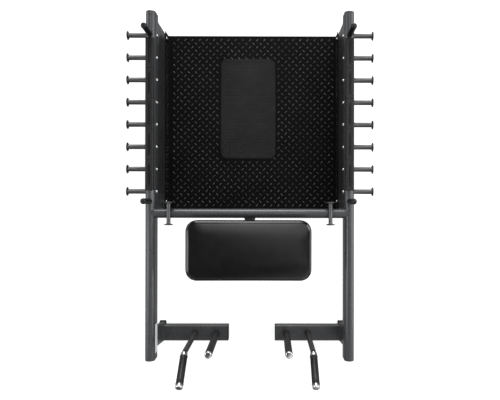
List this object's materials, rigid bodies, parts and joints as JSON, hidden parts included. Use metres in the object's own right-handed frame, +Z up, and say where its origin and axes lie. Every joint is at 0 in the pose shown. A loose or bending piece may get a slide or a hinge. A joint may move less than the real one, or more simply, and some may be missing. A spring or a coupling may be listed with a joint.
{
  "type": "hip thrust platform",
  "caption": "Floor-standing hip-thrust platform with two side rails, band pegs, tread plate, crossbar with a tilting back pad, and rear handles.",
  "frame": {"origin": "on the floor, below the centre of the bounding box", "axes": "+X to the right seen from the handle end, +Y towards the foot platform end, +Z up"},
  "size_m": [1.264, 1.8424, 0.5902],
  "materials": {
    "frame_paint": "satin grey powder coat",
    "black_paint": "black powder coat",
    "tread_plate": "gloss black raised tread",
    "chrome": "polished",
    "steel": "plain zinc",
    "black_screw": "black oxide",
    "rubber": "matte",
    "mat_rubber": "fine ribs",
    "black_plastic": "satin moulding",
    "nylon": "white nylon",
    "label": "blank label",
    "vinyl": "black vinyl cover over foam",
    "plywood": "plywood board"
  },
  "bodies": {
    "frame": {"left_rail": "frame_paint", "right_rail": "frame_paint", "rail_end_caps": "frame_paint", "left_front_leg": "frame_paint", "right_front_leg": "frame_paint", "left_mid_leg": "frame_paint", "right_mid_leg": "frame_paint", "left_rear_leg": "frame_paint", "right_rear_leg": "frame_paint", "crossbar": "frame_paint", "left_foot_beam": "frame_paint", "right_foot_beam": "frame_paint", "left_skirt": "black_paint", "right_skirt": "black_paint", "handle_base_rings": "black_paint", "platform_ribs": "black_paint", "left_outer_handle": "black_paint", "right_outer_handle": "black_paint", "pad_support_arm": "black_paint", "pivot_sleeve": "black_paint", "platform": "tread_plate", "platform_bolts": "chrome", "left_band_anchor": "chrome", "right_band_anchor": "chrome", "left_inner_handle": "chrome", "right_inner_handle": "chrome", "grip_collars": "chrome", "handle_end_caps": "chrome", "left_band_pegs": "chrome", "right_band_pegs": "chrome", "peg_bolts": "chrome", "post_cores": "steel", "strip_screws": "black_screw", "platform_pads": "rubber", "left_outer_grip": "rubber", "right_outer_grip": "rubber", "left_inner_grip": "rubber", "right_inner_grip": "rubber", "post_sleeves": "rubber", "rubber_feet": "rubber", "pad_buffers": "rubber", "tread_mat": "mat_rubber", "left_rail_strips": "black_plastic", "right_rail_strips": "black_plastic", "beam_end_caps": "black_plastic", "pivot_bushes": "nylon", "label_plate": "label"},
    "back_pad": {"pad_bracket": "black_paint", "pivot_pin": "steel", "pin_clips": "steel", "pad_board": "plywood", "pad_cushion": "vinyl", "pad_screws": "steel"}
  },
  "joints": [
    {"name": "back_pad_tilt", "type": "hinge", "parent": "frame", "child": "back_pad", "pos_m": [0, -0.28329, 0.362], "axis": [1, 0, 0], "range_deg": [-12, 12]}
  ]
}
